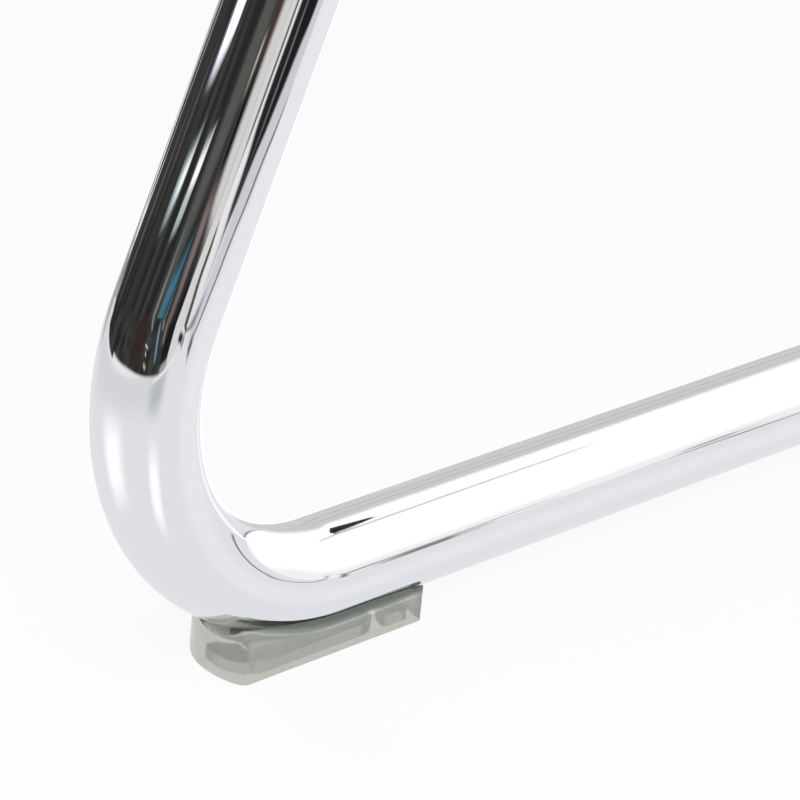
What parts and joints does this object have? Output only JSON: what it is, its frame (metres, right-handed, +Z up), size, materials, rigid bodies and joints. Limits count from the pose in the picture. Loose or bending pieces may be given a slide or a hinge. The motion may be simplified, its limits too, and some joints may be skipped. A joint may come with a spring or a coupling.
{
  "type": "cantilever chair",
  "caption": "Cantilever visitor chair: bent chromed tube floor loop rising through springy front bends into uprights and arms, padded seat and back, clear glides.",
  "frame": {"origin": "on the floor under the middle of the chair's bounding box", "axes": "+X the sitter's left, -Y the front, +Z up"},
  "size_m": [0.571, 0.61, 0.8773],
  "materials": {
    "chromed_tube": "bright chrome plate",
    "clear_plastic": "clear moulded plastic with a grey cast",
    "black_moulding": "fine textured black",
    "arm_grip": "soft black skin",
    "plywood": "raw birch plywood",
    "foam": "moulded foam",
    "upholstery": "flat woven charcoal cloth",
    "zinc_hardware": "bright zinc plate"
  },
  "bodies": {
    "floor_frame": {"floor_loop": "chromed_tube", "left_front_bend": "chromed_tube", "right_front_bend": "chromed_tube", "left_front_glide": "clear_plastic", "right_front_glide": "clear_plastic", "left_rear_glide": "clear_plastic", "right_rear_glide": "clear_plastic"},
    "seat_carrier": {"left_upright_arm": "chromed_tube", "right_upright_arm": "chromed_tube", "left_arm_pad": "arm_grip", "right_arm_pad": "arm_grip", "arm_pad_screws": "zinc_hardware", "back_hoop": "chromed_tube", "seat_front_cross_tube": "chromed_tube", "seat_rear_cross_tube": "chromed_tube", "back_lower_cross_tube": "chromed_tube", "seat_spacers": "black_moulding", "seat_pan": "black_moulding", "seat_board": "plywood", "seat_tee_nuts": "zinc_hardware", "seat_screws": "zinc_hardware", "seat_foam": "foam", "seat_cover": "upholstery", "back_spacers": "black_moulding", "back_shell": "black_moulding", "back_board": "plywood", "back_tee_nuts": "zinc_hardware", "back_screws": "zinc_hardware", "back_foam": "foam", "back_cover": "upholstery"}
  },
  "joints": [
    {"name": "frame_sway", "type": "hinge", "parent": "floor_frame", "child": "seat_carrier", "pos_m": [0, -0.27525, 0.04786], "axis": [-1, 0, 0], "range_deg": [-1, 4], "stiffness_Nm_per_rad": 4500, "springref_deg": -0.38, "deforming": ["left_front_bend", "right_front_bend"]}
  ]
}
